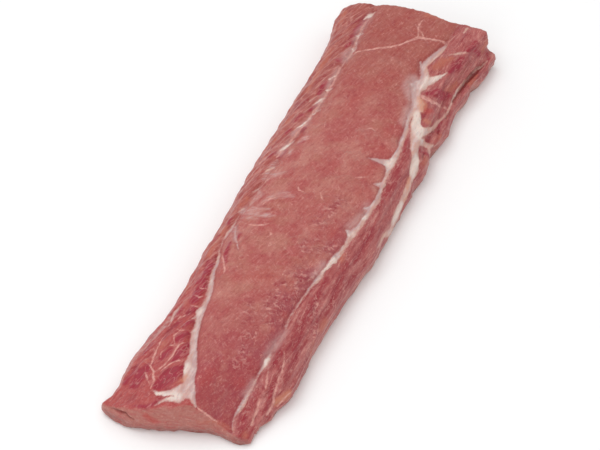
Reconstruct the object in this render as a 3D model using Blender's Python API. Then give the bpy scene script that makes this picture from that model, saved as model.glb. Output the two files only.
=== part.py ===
"""A whole boneless pork loin, lying on its trimmed side with the boned side up.

It is one long piece of meat of about 58 cm. Seen from its near end, a thin strip of finger meat lies
along the left edge, the eye muscle fills the middle and a strap of darker muscle lies along the right
edge. Two seams part them. A loose flap hangs below the strap towards the far end. Both ends are cut.

Units are metres. X runs across the loin, Y along it from the near cut to the far cut, and Z up.
"""

import math

import bmesh
import bpy

# Outline seen from above: (place along the loin, distance from its middle line)
LEFT_EDGE = (
    (-0.288, -0.0900), (-0.268, -0.0810), (-0.220, -0.0812), (-0.165, -0.0738), (-0.060, -0.0745),
    (0.030, -0.0770), (0.150, -0.0760), (0.220, -0.0772), (0.260, -0.0835), (0.290, -0.0850),
)
RIGHT_EDGE = (
    (-0.268, 0.0525), (-0.254, 0.0535), (-0.237, 0.0605), (-0.205, 0.0680), (-0.155, 0.0660),
    (-0.080, 0.0685), (-0.015, 0.0745), (0.060, 0.0742), (0.100, 0.0760), (0.135, 0.0725),
    (0.165, 0.0760), (0.200, 0.0730), (0.250, 0.0805), (0.290, 0.0835),
)

# The two seams between the muscles, seen from above
LEFT_SEAM = (
    (-0.285, -0.0160), (-0.245, -0.0150), (-0.200, -0.0305), (-0.170, -0.0385), (-0.120, -0.0475),
    (-0.090, -0.0535), (-0.050, -0.0565), (0.000, -0.0535), (0.055, -0.0490), (0.100, -0.0410),
    (0.165, -0.0405), (0.215, -0.0430), (0.290, -0.0485),
)
RIGHT_SEAM = (
    (-0.285, 0.0370), (-0.235, 0.0335), (-0.190, 0.0400), (-0.130, 0.0380), (-0.100, 0.0415),
    (-0.055, 0.0475), (0.010, 0.0520), (0.050, 0.0518), (0.080, 0.0482), (0.140, 0.0470),
    (0.170, 0.0372), (0.220, 0.0288), (0.240, 0.0353), (0.290, 0.0420),
)

# Heights above the table: (place along the loin, height)
STRIP_HEIGHT = (
    (-0.290, 0.0120), (-0.265, 0.0190), (-0.220, 0.0265), (-0.150, 0.0315), (0.000, 0.0350),
    (0.150, 0.0370), (0.290, 0.0410),
)
LEFT_SEAM_HEIGHT = (
    (-0.290, 0.0350), (-0.250, 0.0410), (-0.180, 0.0430), (-0.050, 0.0425), (0.150, 0.0450),
    (0.290, 0.0425),
)
EYE_HEIGHT = ((-0.285, 0.0430), (-0.230, 0.0475), (-0.100, 0.0505), (0.100, 0.0510), (0.290, 0.0460))
RIGHT_SEAM_HEIGHT = (
    (-0.280, 0.0360), (-0.240, 0.0380), (-0.180, 0.0410), (-0.080, 0.0430), (0.150, 0.0445),
    (0.290, 0.0430),
)
STRAP_HEIGHT = (
    (-0.275, 0.0280), (-0.240, 0.0290), (-0.180, 0.0310), (-0.080, 0.0330), (0.100, 0.0360),
    (0.230, 0.0400), (0.290, 0.0440),
)

# The two cuts, seen from above: (distance from the middle line, place along the loin)
NEAR_CUT = (
    (-0.090, -0.2805), (-0.076, -0.2862), (-0.060, -0.2882), (-0.040, -0.2868), (-0.020, -0.2795),
    (0.010, -0.2708), (0.028, -0.2672), (0.042, -0.2705), (0.054, -0.2665), (0.080, -0.2600),
)
FAR_CUT = (
    (-0.085, 0.2740), (-0.070, 0.2800), (-0.040, 0.2865), (0.000, 0.2890), (0.040, 0.2875),
    (0.085, 0.2870),
)
NEAR_END = -0.280  # where the outline is read for the near cut
FAR_END = 0.288  # where it is read for the far cut
CUT_BULGE = 0.0035  # how far the middle of a cut face swells out
CUT_MIDDLE_X = -0.014  # the middle of a cut face, from which every part of its edge is seen
CUT_MIDDLE_HEIGHT = 0.32  # as a share of the height of the face
RIM_ROUNDING = 0.0020  # the edge of a cut is rounded over this depth
CUT_EDGE_ANGLE = 40.0  # degrees; sharper edges than this are not shaded smooth

# The near right corner droops to the table
DROOP_SHARE = 0.64
DROOP_ACROSS = (-0.012, 0.034)
DROOP_ALONG = (-0.190, -0.276)

# Sides and tops
MIDDLE_LINE = -0.002  # where the roundings of the two sides start
LEFT_ROUNDING = 4.2  # a higher power makes a squarer side
RIGHT_ROUNDING = 3.4
LEFT_WAIST = 0.40  # height of the widest place, as a share of the side's height
RIGHT_WAIST = 0.30
UNDERCUT = 0.0085  # how far the lower edge draws in before it meets the table
STRAP_FALL = 1.3  # above 1, the strap stays high near its seam and falls off towards its side
STRIP_FALL = 1.2
MUSCLE_CROWN = 0.0014  # how far the strip and the strap swell between their edges
SEAM_DEPTH = 0.0022
SEAM_HALF_WIDTH = 0.0040

# The flap, parted from the strap by a crevice; shares are of the strap's width
FLAP_START = 0.085
FLAP_FULL = 0.150
FLAP_DROP = (  # how far the flap's top lies below the strap
    (0.085, 0.0000), (0.150, 0.0100), (0.230, 0.0130), (0.290, 0.0220),
)
FLAP_STEP = (0.58, 0.78)  # where the strap's top steps down to the flap's
CREVICE_PLACE = 0.70
CREVICE_HALF_WIDTH = 0.09
CREVICE_DEPTH = 0.0050

# Fineness of the solid
STRAP_COLUMNS = 10
EYE_COLUMNS = 16
STRIP_COLUMNS = 9
WALL_COLUMNS = 4
BOTTOM_COLUMNS = 9
STATIONS = 56
CUT_RINGS = (0.975, 0.80, 0.58, 0.34)  # rings on each cut face, as shares of its size

MEAT_COLOUR = (0.435, 0.130, 0.110, 1.0)
MEAT_ROUGHNESS = 0.48


def clamp(value, low, high):
    return max(low, min(high, value))


def smoothstep(start, end, value):
    share = clamp((value - start) / (end - start), 0.0, 1.0)
    return share * share * (3.0 - 2.0 * share)


def read_curve(points, place):
    """The value of a smooth curve through points at a place; beyond its ends it stays level."""
    if place <= points[0][0]:
        return points[0][1]
    if place >= points[-1][0]:
        return points[-1][1]
    index = next(i for i in range(len(points) - 1) if place <= points[i + 1][0])

    def slope(i):
        before = points[max(i - 1, 0)]
        after = points[min(i + 1, len(points) - 1)]
        return (after[1] - before[1]) / (after[0] - before[0])

    start, end = points[index], points[index + 1]
    step = end[0] - start[0]
    s = (place - start[0]) / step
    return (
        (2 * s**3 - 3 * s**2 + 1) * start[1]
        + (s**3 - 2 * s**2 + s) * step * slope(index)
        + (3 * s**2 - 2 * s**3) * end[1]
        + (s**3 - s**2) * step * slope(index + 1)
    )


def valley(depth, half_width, distance):
    return depth * math.exp(-((distance / half_width) ** 2))


def crown(share):
    return MUSCLE_CROWN * math.sin(math.pi * share)


def strap_top(share, y):
    """Height of the strap, from its seam (share 0) to the right edge (share 1)."""
    height = read_curve(RIGHT_SEAM_HEIGHT, y)
    height += (read_curve(STRAP_HEIGHT, y) - height) * share**STRAP_FALL
    height -= read_curve(FLAP_DROP, y) * smoothstep(*FLAP_STEP, share)
    depth = CREVICE_DEPTH * smoothstep(FLAP_START, FLAP_FULL, y)
    return height + crown(share) - valley(depth, CREVICE_HALF_WIDTH, share - CREVICE_PLACE)


def eye_top(share, y):
    """Height of the eye muscle, from the left seam (share 0) to the right seam (share 1)."""
    left = read_curve(LEFT_SEAM_HEIGHT, y)
    right = read_curve(RIGHT_SEAM_HEIGHT, y)
    lift = read_curve(EYE_HEIGHT, y) - (left + right) / 2
    return left + (right - left) * share + lift * (1 - (2 * share - 1) ** 2)


def strip_top(share, y):
    """Height of the finger strip, from its seam (share 0) to the left edge (share 1)."""
    height = read_curve(LEFT_SEAM_HEIGHT, y)
    height += (read_curve(STRIP_HEIGHT, y) - height) * share**STRIP_FALL
    return height + crown(share)


def surface_columns():
    """The columns round a section: (zone, share), starting at the lower right and ending there."""
    columns = [("right wall", i / WALL_COLUMNS) for i in range(WALL_COLUMNS)]
    columns += [("strap", 1 - i / STRAP_COLUMNS) for i in range(STRAP_COLUMNS)]
    columns += [("eye", 1 - i / EYE_COLUMNS) for i in range(EYE_COLUMNS)]
    columns += [("strip", i / STRIP_COLUMNS) for i in range(STRIP_COLUMNS + 1)]
    columns += [("left wall", 1 - i / WALL_COLUMNS) for i in range(1, WALL_COLUMNS + 1)]
    columns += [("bottom", i / BOTTOM_COLUMNS) for i in range(1, BOTTOM_COLUMNS)]
    return columns


def place_across(zone, share, y):
    """Distance from the middle line of a column, and how near it is to its side (0 to 1)."""
    left = read_curve(LEFT_EDGE, y)
    right = read_curve(RIGHT_EDGE, y)
    left_seam = read_curve(LEFT_SEAM, y)
    right_seam = read_curve(RIGHT_SEAM, y)
    if zone == "strap":
        x = right_seam + (right - right_seam) * math.sin(share * math.pi / 2)
    elif zone == "eye":
        x = left_seam + (right_seam - left_seam) * share
    elif zone == "strip":
        x = left_seam + (left - left_seam) * math.sin(share * math.pi / 2)
    elif zone == "right wall":
        x = right - UNDERCUT * (1 - math.sin(share * math.pi / 2))
    elif zone == "left wall":
        x = left + UNDERCUT * (1 - math.sin(share * math.pi / 2))
    else:
        start = left + UNDERCUT
        x = start + (right - UNDERCUT - start) * share
    side = right if x > MIDDLE_LINE else left
    return x, clamp((x - MIDDLE_LINE) / (side - MIDDLE_LINE), 0.0, 1.0)


def height_of(zone, share, x, nearness, y):
    """Height of a column's point above the table."""
    right_waist = RIGHT_WAIST * read_curve(STRAP_HEIGHT, y)
    right_waist *= 1 - DROOP_SHARE * smoothstep(*DROOP_ALONG, y)
    left_waist = LEFT_WAIST * read_curve(STRIP_HEIGHT, y)
    if zone == "bottom":
        return 0.0
    if zone == "right wall":
        return right_waist * (1 - math.cos(share * math.pi / 2))
    if zone == "left wall":
        return left_waist * (1 - math.cos(share * math.pi / 2))
    left_seam = read_curve(LEFT_SEAM, y)
    right_seam = read_curve(RIGHT_SEAM, y)
    if zone == "strap":
        top = strap_top((x - right_seam) / (read_curve(RIGHT_EDGE, y) - right_seam), y)
    elif zone == "eye":
        top = eye_top(share, y)
    else:
        top = strip_top((x - left_seam) / (read_curve(LEFT_EDGE, y) - left_seam), y)
    top -= valley(SEAM_DEPTH, SEAM_HALF_WIDTH, x - left_seam)
    top -= valley(SEAM_DEPTH, SEAM_HALF_WIDTH, x - right_seam)
    top *= 1 - DROOP_SHARE * smoothstep(*DROOP_ACROSS, x) * smoothstep(*DROOP_ALONG, y)
    power = RIGHT_ROUNDING if x > MIDDLE_LINE else LEFT_ROUNDING
    waist = right_waist if x > MIDDLE_LINE else left_waist
    return waist + (top - waist) * (1 - nearness**power) ** (1 / power)


def cut_place(cut, x, outwards):
    """Place along the loin of a point of a cut, moved outwards by a distance."""
    side = -1.0 if cut is NEAR_CUT else 1.0
    return read_curve(cut, x) + side * outwards


def body_ring(columns, station):
    """The points of the ring at a station, from 0 behind the near cut to 1 before the far cut."""
    points = []
    for zone, share in columns:
        near = cut_place(NEAR_CUT, place_across(zone, share, NEAR_END)[0], -RIM_ROUNDING)
        far = cut_place(FAR_CUT, place_across(zone, share, FAR_END)[0], -RIM_ROUNDING)
        y = near + (far - near) * station
        x, nearness = place_across(zone, share, y)
        points.append((x, y, height_of(zone, share, x, nearness, y)))
    return points


def cut_ring(end_ring, cut, share):
    """A ring on a cut face: the loin's end ring shrunk to a share of its size."""
    middle_z = CUT_MIDDLE_HEIGHT * max(p[2] for p in end_ring)
    points = []
    for x, _, z in end_ring:
        x = CUT_MIDDLE_X + (x - CUT_MIDDLE_X) * share
        z = middle_z + (z - middle_z) * share
        points.append((x, cut_place(cut, x, CUT_BULGE * (1 - share**2)), z))
    return points


def extrude_ring(bm, ring, points):
    """Extrude the open edge ring of a mesh to new points, and give the new ring."""
    edges = [bm.edges.get((ring[i - 1], ring[i])) for i in range(len(ring))]
    grown = bmesh.ops.extrude_edge_only(bm, edges=edges)["geom"]
    fresh = {item for item in grown if isinstance(item, bmesh.types.BMVert)}
    new_ring = []
    for vert in ring:
        new_ring.append(next(e.other_vert(vert) for e in vert.link_edges if e.other_vert(vert) in fresh))
    for vert, point in zip(new_ring, points):
        vert.co = point
    return new_ring


def close_ring(bm, ring):
    """Close the middle of a cut face with a fan of triangles."""
    cap = bm.faces.new(ring)
    bmesh.ops.poke(bm, faces=[cap])


def loin_mesh():
    """The loin's mesh: rings from the middle of the near cut, along the loin, to the far cut."""
    columns = surface_columns()
    body = [body_ring(columns, i / STATIONS) for i in range(STATIONS + 1)]
    rings = [cut_ring(body[0], NEAR_CUT, share) for share in reversed(CUT_RINGS)]
    rings += body
    rings += [cut_ring(body[-1], FAR_CUT, share) for share in CUT_RINGS]

    bm = bmesh.new()
    ring = bmesh.ops.create_circle(bm, segments=len(columns), radius=1.0)["verts"]
    for vert, point in zip(ring, rings[0]):
        vert.co = point
    close_ring(bm, ring)
    for points in rings[1:]:
        ring = extrude_ring(bm, ring, points)
    close_ring(bm, ring)
    bmesh.ops.recalc_face_normals(bm, faces=bm.faces)

    # Stand the loin on Z = 0 with the middle of its outline over the origin.
    xs = [v.co.x for v in bm.verts]
    ys = [v.co.y for v in bm.verts]
    middle = ((min(xs) + max(xs)) / 2, (min(ys) + max(ys)) / 2, 0.0)
    bmesh.ops.translate(bm, verts=bm.verts, vec=[-value for value in middle])

    mesh = bpy.data.meshes.new("pork_loin")
    bm.to_mesh(mesh)
    bm.free()
    mesh.shade_smooth()
    mesh.set_sharp_from_angle(angle=math.radians(CUT_EDGE_ANGLE))
    return mesh


def meat_material():
    material = bpy.data.materials.new("pork_meat")
    material.use_nodes = True
    shader = material.node_tree.nodes["Principled BSDF"]
    shader.inputs["Base Color"].default_value = MEAT_COLOUR
    shader.inputs["Roughness"].default_value = MEAT_ROUGHNESS
    shader.inputs["Metallic"].default_value = 0.0
    return material


for thing in list(bpy.data.objects):
    bpy.data.objects.remove(thing)

loin = bpy.data.objects.new("pork_loin", loin_mesh())
loin.data.materials.append(meat_material())
bpy.context.scene.collection.objects.link(loin)
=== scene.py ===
import math

import bpy
import numpy as np
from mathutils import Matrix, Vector, noise


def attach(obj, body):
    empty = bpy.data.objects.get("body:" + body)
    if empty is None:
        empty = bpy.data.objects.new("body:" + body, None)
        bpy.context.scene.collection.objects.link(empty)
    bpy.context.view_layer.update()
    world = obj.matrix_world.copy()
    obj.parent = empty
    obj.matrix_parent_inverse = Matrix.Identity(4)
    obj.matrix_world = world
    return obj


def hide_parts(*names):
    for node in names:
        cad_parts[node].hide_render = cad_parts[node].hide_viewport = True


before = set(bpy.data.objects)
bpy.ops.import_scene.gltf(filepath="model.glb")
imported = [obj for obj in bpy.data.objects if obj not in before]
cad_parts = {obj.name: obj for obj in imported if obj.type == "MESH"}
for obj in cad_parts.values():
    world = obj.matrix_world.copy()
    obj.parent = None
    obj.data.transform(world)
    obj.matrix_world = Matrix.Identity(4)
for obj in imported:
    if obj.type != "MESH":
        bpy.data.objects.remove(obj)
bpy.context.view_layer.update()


# ---- The loin: its three muscles ----
# One long piece of lean pork, boned out by knife and laid with the side that faced the ribs up.
# Three muscles lie side by side: a thin strip at the left, the broad eye and, at the right, a strap.
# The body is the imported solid; single muscle bundles are laid into its skin and fused with it.

MM = 0.001
FUSE_CELL = 1.22  # mm; the cell of the remesh that fuses the bundles with the body
STRIP_TURN = 24.0  # degrees clockwise from the loin's length, the way the strip's bundles run
ABOVE = 0.2  # m; a height well above the loin
INSIDE = 0.02  # m; a height between its underside and its top

# The seams between the muscles, from above: (x, y, half the width of the fat in them) in mm.
# Below 0 there is no fat.
LEFT_SEAM = (
    (4.5, -272.5, 0.8), (-2, -266, 3.0), (-8, -259, 5.4), (-13, -248, 5.2), (-16, -240, 6.0),
    (-19, -231, 5.8), (-21.5, -223, 4.8), (-24.5, -214, 3.2), (-28.5, -204, 3.4), (-31.5, -195, 3.4),
    (-33, -185, 2.8), (-35, -177, 3.2), (-38, -168, 4.6), (-37.5, -159, 2.8), (-38.5, -150, 2.6),
    (-41, -140, 2.8), (-44.5, -128, 2.2), (-48, -118, 1.6), (-49.5, -105, 1.5), (-51.5, -96, 1.2),
    (-54.5, -87, 0.2), (-56.5, -75.5, 0.4), (-56.5, -62.5, 1.8), (-55, -49, 0.6), (-56, -30, -1.0),
    (-53, -2, -0.5), (-50, 25, -1.0), (-48, 60, -1.0), (-43.5, 88, -0.6), (-42, 108, -0.4), (-42, 132, 0.2),
    (-42, 150, -0.4), (-43, 167, 0.2), (-43, 190, -0.4), (-42, 203, 0.8), (-42, 215, 0.4), (-45, 236, 0.2),
    (-46, 262, -0.4), (-46, 290, -1.0),
)
RIGHT_SEAM = (
    (41, 290, -1.0), (39.5, 262, -0.8), (40, 255, 1.2), (38, 243, 3.2), (34, 229, 3.2), (31, 217, 2.8),
    (35, 209, 3.8), (40, 199, 6.0), (38, 191, 7.6), (37, 181, 4.8), (41, 172, 4.0), (44, 158, 2.4),
    (44.5, 145, 2.4), (47, 134, 2.2), (49, 122, 2.0), (50, 110, 2.2), (53, 94, 2.2), (52, 83, 3.8),
    (50.5, 76.5, 4.8), (52, 69, 2.6), (54, 53, 2.2), (56.5, 35.5, 1.8), (58, 27.5, 2.2), (56.5, 18, 2.4),
    (55.5, 3.5, 2.2), (55.5, -7, 1.9), (52, -22.5, 3.8), (52, -38, 2.2), (50.5, -50, 3.1),
    (49.5, -58.5, 3.5), (47, -73.5, 2.4), (46, -81, 2.3), (43.5, -95.5, 1.2), (41.5, -111.5, 0.5),
    (40.5, -127, 0.6), (39.5, -140, 0.3), (41, -155, 0.2), (42.5, -166, -0.6), (41, -174, 0.0),
    (40.5, -186, 0.4), (41, -198, 2.0), (40, -208, 0.8), (38.5, -217, 0.6), (37.5, -227, 0.8),
    (36.5, -237, 1.8), (34.5, -247, 1.7), (33.5, -254, 0.4), (37, -266, 0.4), (42, -272, -1.0),
)

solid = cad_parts["pork_loin"]
bpy.ops.object.select_all(action="DESELECT")
loin = bpy.data.objects.new("loin", solid.data.copy())
bpy.context.collection.objects.link(loin)
bpy.context.view_layer.objects.active = loin
loin.select_set(True)
bpy.ops.object.mode_set(mode="EDIT")
bpy.ops.mesh.select_all(action="SELECT")
bpy.ops.mesh.remove_doubles(threshold=0.01 * MM)
bpy.ops.object.mode_set(mode="OBJECT")


def seam_x(seam, y):
    """How far across a seam lies, at each of some places along the loin; both in mm."""
    points = sorted(seam, key=lambda point: point[1])
    return np.interp(y, [p[1] for p in points], [p[0] for p in points])


def skin_under(x, y):
    """The point of the solid's top skin straight below a place given in mm, and its normal.

    A place beside the loin gets the nearest point of its side.
    """
    found, point, normal, _ = solid.ray_cast(Vector((x * MM, y * MM, ABOVE)), Vector((0, 0, -1)))
    if not found:
        point, normal = solid.closest_point_on_mesh(Vector((x * MM, y * MM, INSIDE)))[1:3]
    return point, normal


def apply_modifier(kind, **settings):
    """Puts a modifier of that kind on the loin, with its settings, and applies it."""
    modifier = loin.modifiers.new(kind.lower(), kind)
    for name, value in settings.items():
        setattr(modifier, name, value)
    bpy.ops.object.modifier_apply(modifier=modifier.name)


# Where a layer has come loose, a slit runs in under it: (middle, half sizes, turn), in mm and degrees
SLITS = (
    ((-64, -290, 18), (11, 5, 1.2), (-8, -19, 4)),
    ((75.5, 246, 24), (1.7, 24, 6), (0, 40, -11)),
    ((70.5, 210, 25), (1.5, 15, 6), (0, 40, -3)),
    ((71, 184, 24), (1.4, 9, 6), (0, 35, 2)),
    ((72, 124, 24), (1.2, 9, 4), (0, 35, 4)),
)

for middle, halves, turn in SLITS:
    bpy.ops.object.select_all(action="DESELECT")
    bpy.ops.mesh.primitive_uv_sphere_add(
        segments=24, ring_count=12, radius=1.0, location=[place * MM for place in middle],
        rotation=[math.radians(angle) for angle in turn], scale=[half * MM for half in halves],
    )
    blade = bpy.context.active_object
    bpy.ops.object.select_all(action="DESELECT")
    loin.select_set(True)
    bpy.context.view_layer.objects.active = loin
    apply_modifier("BOOLEAN", operation="DIFFERENCE", solver="EXACT", object=blade)
    bpy.data.objects.remove(blade)


DEPTH_TO_RISE = 3.2  # half a bundle's thickness, most of it inside the body, for each mm that it rises


def lay_bundle(x, y, length, width, rise, turn, hugs=True):
    """Sinks an oval muscle bundle in the top skin, and bends it to the skin if it hugs it.

    Sizes in mm; it is turned clockwise from the loin's length.
    """
    point, normal = skin_under(x, y)
    deep = DEPTH_TO_RISE * rise
    along = Vector((math.sin(math.radians(turn)), math.cos(math.radians(turn)), 0.0))
    across = along.cross(normal).normalized()
    along = normal.cross(across)
    spread = 1.0 / math.sqrt(1.0 - ((deep - rise) / deep) ** 2)
    bpy.ops.mesh.primitive_uv_sphere_add(
        segments=20, ring_count=24, radius=1.0, rotation=(-math.pi / 2, 0, 0),
        scale=(width / 2 * spread * MM, deep * MM, length / 2 * spread * MM),
    )
    bpy.ops.object.transform_apply(location=True, rotation=True, scale=True)
    bundle = bpy.context.active_object
    for vertex in bundle.data.vertices:
        right, forward, up = vertex.co
        foot, lift = point + across * right + along * forward, normal
        if hugs:
            foot, lift = solid.closest_point_on_mesh(foot)[1:3]
        vertex.co = foot + lift * (up - (deep - rise) * MM)
    return bundle


# Pods of darker meat towards the near end: (x, y, length, width, rise, turn)
PODS = (
    (-41, -188, 18, 11, 1.5, 40), (-41, -204, 17, 12, 1.6, 45), (-38, -218, 24, 11, 1.4, 40),
    (-34, -240, 34, 15, 1.8, 28), (-48, -222, 24, 9, 1.1, 30), (-52, -206, 22, 8, 1.0, 30),
    (-62, -244, 34, 15, 1.3, 20), (-66, -215, 36, 11, 1.0, 12), (-50, -252, 20, 12, 1.0, 35),
    (-46, -90, 18, 6, 1.0, 15), (-50, -150, 22, 9, 1.2, 35), (-55, -166, 26, 10, 1.2, 30),
    (-60, -190, 26, 9, 1.0, 22), (-57, -130, 24, 9, 0.9, 32), (-62, -112, 24, 9, 0.8, 32),
)

# Where the eye bulges between the places where the ribs lay: y, then each bulge's place off the right
# seam, length, width, rise and turn
BULGES = (92, 58, 26, -6, -36, -66)
OFF_SEAM = 17
BULGE_SHAPE = (27, 40, 0.9, 8)

# Long bundles of the strap, and of the flap below it, as the pods are given
STRANDS = (
    (60, 62, 120, 12, 1.2, -6), (66, 10, 130, 13, 1.2, 0), (58, -60, 120, 12, 1.0, 8),
    (66, -120, 110, 12, 1.0, 4), (52, -150, 110, 10, 1.0, 4), (60, -205, 80, 9, 1.0, -4),
    (50, -220, 60, 9, 1.1, 4), (48, -180, 60, 8, 0.8, 0), (56, 228, 46, 16, 1.2, -20),
    (57, 202, 30, 12, 1.0, -30), (62, 159, 24, 13, 1.4, -8), (74, 113, 30, 10, 1.4, 0),
    (74, 150, 34, 10, 1.0, -10), (60, 262, 30, 14, 0.9, -30), (80, 236, 46, 7, 0.8, 10),
)

bundles = [lay_bundle(*pod) for pod in PODS]
for y in BULGES:
    bundles.append(lay_bundle(seam_x(RIGHT_SEAM, y) - OFF_SEAM, y, *BULGE_SHAPE, hugs=False))
for strand in STRANDS:
    bundles.append(lay_bundle(*strand))

bpy.ops.object.select_all(action="DESELECT")
for bundle in bundles:
    bundle.select_set(True)
loin.select_set(True)
bpy.context.view_layer.objects.active = loin
bpy.ops.object.join()

apply_modifier("REMESH", mode="VOXEL", voxel_size=FUSE_CELL * MM)
apply_modifier("SMOOTH", factor=0.5, iterations=3)


# ---- The loin: seams, fat and silverskin ----
# White fat and thin glassy silverskin lie in the seams and over the meat where the ribs came away.
# The knife left fat in patches and threads, and the muscles stand a little proud on both sides of it.
# A stroke is drawn on the top skin as (x, y, half its width) in mm, from one point to the next.

FAT = (
    LEFT_SEAM, RIGHT_SEAM,
    # the left seam's fork
    ((-52.5, -57, 0.8), (-46, -72, 1.0), (-41, -79, 0.6), (-36, -87, 0.0)),
    # the three-cornered patch at its near end, and a strip of skin on the outer side
    ((-6.5, -261.5, 4.0), (-21, -264.5, 3.6), (-28, -268.5, 2.8), (-35, -269.5, 2.0), (-41, -266, 0.6)),
    ((4.5, -272.5, 1.0), (-12.5, -270, 3.0), (-21, -271.5, 2.2), (-28, -277, 1.2), (-39.5, -288.5, 0.2)),
    ((-7.5, -265, 4.6), (-16.5, -266.5, 4.2)), ((-13, -254, 4.4), (-17, -260, 4.0), (-22, -263, 2.0)),
    ((-36, -172, 2.0), (-41, -179, 0.4)),
    ((-61, -160, 0.2), (-64, -170, 1.6), (-62, -182, 1.5), (-60, -190, 0.4)),
    # bright flecks where the ribs ended
    ((-41, 138, 0.1), (-44.5, 131.5, 1.6), (-50, 122, 0.1)), ((-49, 138, 0.1), (-54.5, 129, 1.0)),
    ((-43.5, 107, 0.1), (-47.5, 94, 1.6), (-52, 84, 0.1)),
    ((-46, 72, 0.1), (-50.5, 59, 1.7), (-55, 49, 0.1)),
    ((-47, 33, 0.1), (-50, 30, 1.0), (-54, 24, 1.0), (-57, 18, 0.1)),
    ((-53, -27, 0.1), (-56, -31, 1.3), (-59, -37, 0.1)), ((-43, 171, 0.4), (-48, 163, 1.2)),
    ((-44, 274, 0.4), (-47, 266, 1.9), (-50, 258, 0.2)), ((-43, 239, 0.2), (-47, 232, 1.1)),
    ((-40, 219, 0.2), (-43, 212, 1.3)), ((-39, 153, 0.2), (-43.5, 147, 1.1)),
    ((-39, 120, 0.2), (-43, 111, 0.9)), ((-51, 3, 0.1), (-53, -2, 0.9), (-56, -8, 0.1)),
    # the scallops of the right seam, where the eye bulges between the ribs
    ((51, 78, 4.4), (43, 74.5, 3.0), (31.5, 71.5, 0.4)), ((54.5, 49, 3.4), (48, 44.5, 0.6)),
    ((54.5, 16, 2.2), (51, 12, 1.2)), ((50.5, -22.5, 3.4), (46.5, -22, 1.1)),
    ((48.5, -56.5, 2.6), (46.5, -61, 0.8)),
    # the star at its far end
    ((27, 220, 1.0), (31, 215, 2.6)), ((43, 200, 5.6), (49, 207, 2.8), (55, 220, 0.4)),
    ((38, 191, 6.4), (32, 187, 3.6), (29, 186, 0.8)), ((43, 170, 3.4), (48, 166, 4.0), (50, 158, 3.4)),
    # the white patch on the strap, its arm, and the band that runs on from it
    ((45, 160, 2.6), (49, 153, 3.8), (54, 139, 5.4), (58, 133, 7.4), (63.5, 138, 4.4), (66, 151, 2.4),
     (67, 166, 1.4), (69, 177, 1.0)),
    ((58, 131, 6.6), (61, 121, 5.8), (65, 110, 6.0), (69, 100, 6.4), (72, 91, 6.4), (73.5, 83, 4.8)),
    ((73.5, 77, 3.6), (74, 68, 4.2), (74.5, 60, 4.8), (75, 47, 6.0), (75.5, 35, 5.6), (76, 20, 4.4),
     (76.5, 5, 2.6), (77, -12, 0.8)), ((61, 120, 4.6), (66, 131, 3.8), (70.5, 133, 3.0), (74.5, 138, 1.4)),
    ((71, 132, 2.6), (74, 125, 1.0)),
    # the strap's outer edge above the flap, and a thick thread near it
    ((79, 274, 0.2), (78, 267, 0.8), (73.5, 256, 0.5), (69.5, 231, 0.8), (67.5, 214, 1.0),
     (69, 196, 0.9), (70, 186, 1.6), (69, 177, 1.2)),
    ((48, 241, 0.2), (56, 249, 1.3), (61, 254, 1.1), (67, 259, 0.2)), ((51, 284, 1.6), (50, 279, 0.8)),
)

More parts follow.
